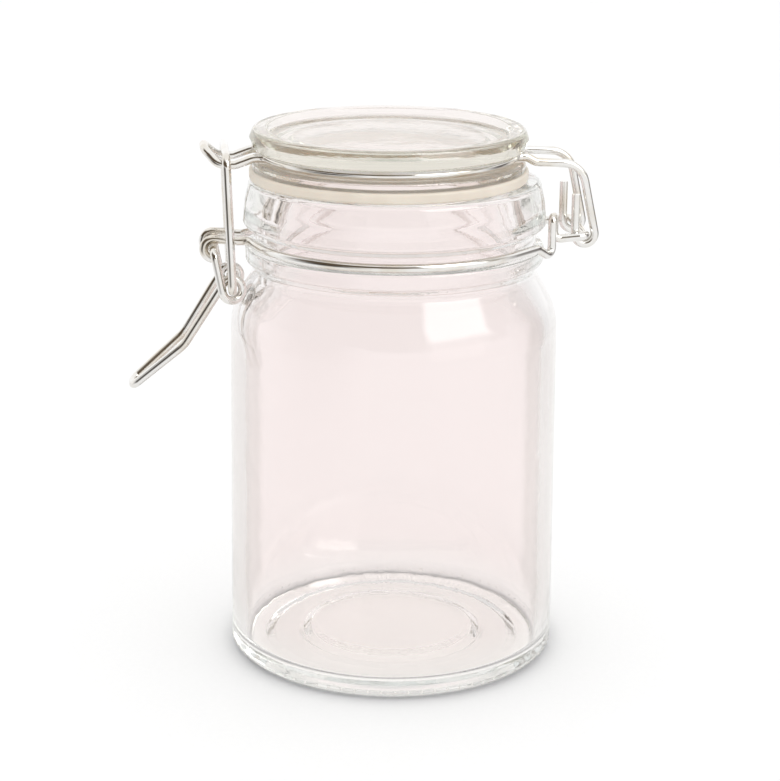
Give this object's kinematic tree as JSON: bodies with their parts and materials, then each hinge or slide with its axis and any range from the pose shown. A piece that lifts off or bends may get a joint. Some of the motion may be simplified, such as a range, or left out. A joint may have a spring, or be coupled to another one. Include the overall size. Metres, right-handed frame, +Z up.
{
  "type": "clip-top jar",
  "caption": "Clear glass preserving jar, shut: rounded shoulder, glass lid with a shallow dish, pale rubber gasket and a bent-wire clip with a lever in front and a wire hinge behind.",
  "frame": {"origin": "centre of the ring that the jar stands on", "axes": "+Z up along the jar's axis, -Y towards the lever and link, +Y towards the hinge"},
  "size_m": [0.0712, 0.0994, 0.1147],
  "materials": {
    "glass": "clear, polished",
    "rubber": "matt",
    "wire": "bright plated"
  },
  "bodies": {
    "jar_body": {"jar": "glass", "neck_wire": "wire"},
    "lid_body": {"lid": "glass", "gasket": "rubber", "lid_wire": "wire"},
    "lever_body": {"lever": "wire"},
    "link_body": {"link": "wire"}
  },
  "joints": [
    {"name": "lid_hinge", "type": "hinge", "parent": "jar_body", "child": "lid_body", "pos_m": [0, 0.0396, 0.0928], "axis": [-1, 0, 0], "range_deg": [0, 105]},
    {"name": "lever_pivot", "type": "hinge", "parent": "jar_body", "child": "lever_body", "pos_m": [0, -0.0384, 0.09], "axis": [-1, 0, 0], "range_deg": [0, 75]},
    {"name": "link_pivot", "type": "hinge", "parent": "lever_body", "child": "link_body", "pos_m": [0, -0.0347, 0.082], "axis": [1, 0, 0], "range_deg": [0, 110]}
  ],
  "couplings": [
    {"joint": "lever_pivot", "follows": "lid_hinge", "ratio": 0.71428},
    {"joint": "link_pivot", "follows": "lid_hinge", "ratio": 1.0476}
  ]
}
